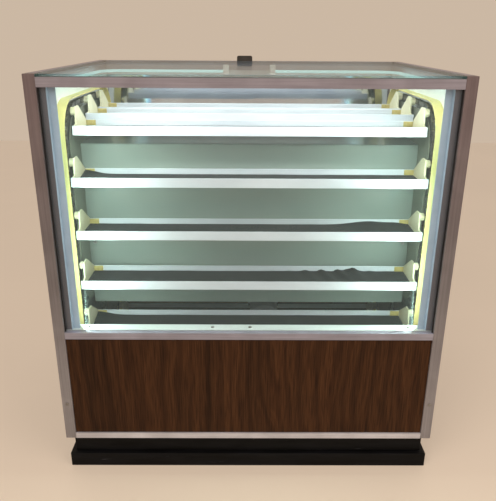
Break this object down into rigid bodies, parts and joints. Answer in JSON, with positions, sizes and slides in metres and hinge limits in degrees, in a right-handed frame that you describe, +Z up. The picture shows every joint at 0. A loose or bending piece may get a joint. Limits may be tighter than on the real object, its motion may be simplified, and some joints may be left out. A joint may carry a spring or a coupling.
{
  "type": "rotating display case",
  "caption": "Lit, glass-fronted display case whose level shelves ride round a vertical loop on side chains, with a wood-grain lower panel, sliding rear doors and a recessed plinth.",
  "frame": {"origin": "centre of the case's footprint, on the floor", "axes": "+X to the viewer's right, +Y to the rear, +Z up; the glass front faces -Y"},
  "size_m": [0.9144, 0.6634, 0.9802],
  "materials": {
    "bronze_aluminium": "satin anodised",
    "bright_aluminium": "satin",
    "walnut_laminate": "satin laminate",
    "white_liner": "satin",
    "black_plinth": "scuffed paint",
    "clear_glass": "polished",
    "mirror_glass": "polished",
    "black_rubber": "matte",
    "yellow_plastic": "satin",
    "olive_metal": "satin",
    "white_enamel": "satin enamel",
    "cream_enamel": "aged enamel",
    "slate_felt": "matte felt",
    "chain_steel": "oiled",
    "grey_casting": "satin",
    "lamp_glass": "opal",
    "white_plastic": "satin",
    "dark_hardware": "satin",
    "black_plastic": "satin"
  },
  "bodies": {
    "case": {"axle_mounts": "chain_steel", "case_panels": "walnut_laminate", "centre_panel": "olive_metal", "chain_left": "chain_steel", "chain_right": "chain_steel", "corner_posts": "bronze_aluminium", "door_tracks": "bright_aluminium", "frame_rails": "bronze_aluminium", "frame_screws": "dark_hardware", "front_glass": "clear_glass", "gearbox": "grey_casting", "glass_channels": "bright_aluminium", "glass_gasket": "black_rubber", "inner_supports": "olive_metal", "island_plates": "olive_metal", "lamp_shields": "bright_aluminium", "lamp_tubes": "lamp_glass", "lampholders": "white_plastic", "motor": "grey_casting", "plinth": "black_plinth", "power_inlet": "black_plastic", "side_liners": "white_liner", "sill_ledge": "bright_aluminium", "top_glass": "clear_glass", "top_latch": "dark_hardware", "track_guards": "yellow_plastic"},
    "drive": {"drive_shaft": "chain_steel", "sprockets_bottom_rear": "chain_steel"},
    "top_front_wheels": {"sprockets_top_front": "chain_steel"},
    "top_rear_wheels": {"sprockets_top_rear": "chain_steel"},
    "bottom_front_wheels": {"sprockets_bottom_front": "chain_steel"},
    "front_shelves": {"front_trays": "white_enamel", "front_brackets": "cream_enamel", "front_mats": "slate_felt"},
    "top_front_shelves": {"top_front_trays": "white_enamel", "top_front_brackets": "cream_enamel", "top_front_mats": "slate_felt"},
    "top_shelves": {"top_trays": "white_enamel", "top_brackets": "cream_enamel", "top_mats": "slate_felt"},
    "top_rear_shelves": {"top_rear_trays": "white_enamel", "top_rear_brackets": "cream_enamel", "top_rear_mats": "slate_felt"},
    "rear_shelves": {"rear_trays": "white_enamel", "rear_brackets": "cream_enamel", "rear_mats": "slate_felt"},
    "bottom_rear_shelves": {"bottom_rear_trays": "white_enamel", "bottom_rear_brackets": "cream_enamel", "bottom_rear_mats": "slate_felt"},
    "bottom_shelves": {"bottom_trays": "white_enamel", "bottom_brackets": "cream_enamel", "bottom_mats": "slate_felt"},
    "bottom_front_shelves": {"bottom_front_trays": "white_enamel", "bottom_front_brackets": "cream_enamel", "bottom_front_mats": "slate_felt"},
    "door_left": {"door_left": "mirror_glass"},
    "door_right": {"door_right": "mirror_glass"},
    "latch_knob": {"latch_knob": "dark_hardware"},
    "rocker_switch": {"rocker_switch": "black_plastic"}
  },
  "joints": [
    {"name": "carousel_drive", "type": "hinge", "parent": "case", "child": "drive", "pos_m": [0, 0.1143, 0.3053], "axis": [1, 0, 0], "range_deg": [-15, 45], "deforming": ["chain_left", "chain_right"]},
    {"name": "top_front_wheels", "type": "hinge", "parent": "case", "child": "top_front_wheels", "pos_m": [0, -0.1143, 0.7879], "axis": [1, 0, 0], "range_deg": [-15.5, 45.5]},
    {"name": "top_rear_wheels", "type": "hinge", "parent": "case", "child": "top_rear_wheels", "pos_m": [0, 0.1143, 0.7879], "axis": [1, 0, 0], "range_deg": [-15.5, 45.5]},
    {"name": "bottom_front_wheels", "type": "hinge", "parent": "case", "child": "bottom_front_wheels", "pos_m": [0, -0.1143, 0.3053], "axis": [1, 0, 0], "range_deg": [-15.5, 45.5]},
    {"name": "front_run", "type": "slide", "parent": "case", "child": "front_shelves", "axis": [0, 0, -1], "range_m": [-0.0263, 0.0771]},
    {"name": "top_run", "type": "slide", "parent": "case", "child": "top_shelves", "axis": [0, -1, 0], "range_m": [-0.0263, 0.0771]},
    {"name": "rear_run", "type": "slide", "parent": "case", "child": "rear_shelves", "axis": [0, 0, 1], "range_m": [-0.0263, 0.0771]},
    {"name": "bottom_run", "type": "slide", "parent": "case", "child": "bottom_shelves", "axis": [0, 1, 0], "range_m": [-0.0263, 0.0771]},
    {"name": "top_front_level", "type": "hinge", "parent": "top_front_wheels", "child": "top_front_shelves", "pos_m": [0, -0.16295, 0.87216], "axis": [1, 0, 0], "range_deg": [-45.5, 15.5]},
    {"name": "top_rear_level", "type": "hinge", "parent": "top_rear_wheels", "child": "top_rear_shelves", "pos_m": [0, 0.19856, 0.83655], "axis": [1, 0, 0], "range_deg": [-45.5, 15.5]},
    {"name": "bottom_rear_level", "type": "hinge", "parent": "drive", "child": "bottom_rear_shelves", "pos_m": [0, 0.16295, 0.22104], "axis": [1, 0, 0], "range_deg": [-45.5, 15.5]},
    {"name": "bottom_front_level", "type": "hinge", "parent": "bottom_front_wheels", "child": "bottom_front_shelves", "pos_m": [0, -0.19856, 0.25665], "axis": [1, 0, 0], "range_deg": [-45.5, 15.5]},
    {"name": "door_left_slide", "type": "slide", "parent": "case", "child": "door_left", "axis": [1, 0, 0], "range_m": [0, 0.41]},
    {"name": "door_right_slide", "type": "slide", "parent": "case", "child": "door_right", "axis": [-1, 0, 0], "range_m": [0, 0.41]},
    {"name": "latch_turn", "type": "hinge", "parent": "case", "child": "latch_knob", "pos_m": [-0.0136, 0.3252, 0.9727], "axis": [0, 1, 0], "range_deg": [0, 90]},
    {"name": "rocker_tilt", "type": "hinge", "parent": "case", "child": "rocker_switch", "pos_m": [0.348, 0.325, 0.17], "axis": [1, 0, 0], "range_deg": [0, 10]}
  ],
  "couplings": [
    {"joint": "top_front_wheels", "follows": "carousel_drive", "ratio": 1},
    {"joint": "top_rear_wheels", "follows": "carousel_drive", "ratio": 1},
    {"joint": "bottom_front_wheels", "follows": "carousel_drive", "ratio": 1},
    {"joint": "front_run", "follows": "carousel_drive", "m_per_rad": 0.097021},
    {"joint": "top_run", "follows": "carousel_drive", "m_per_rad": 0.097021},
    {"joint": "rear_run", "follows": "carousel_drive", "m_per_rad": 0.097021},
    {"joint": "bottom_run", "follows": "carousel_drive", "m_per_rad": 0.097021},
    {"joint": "top_front_level", "follows": "carousel_drive", "ratio": -1},
    {"joint": "top_rear_level", "follows": "carousel_drive", "ratio": -1},
    {"joint": "bottom_rear_level", "follows": "carousel_drive", "ratio": -1},
    {"joint": "bottom_front_level", "follows": "carousel_drive", "ratio": -1}
  ]
}
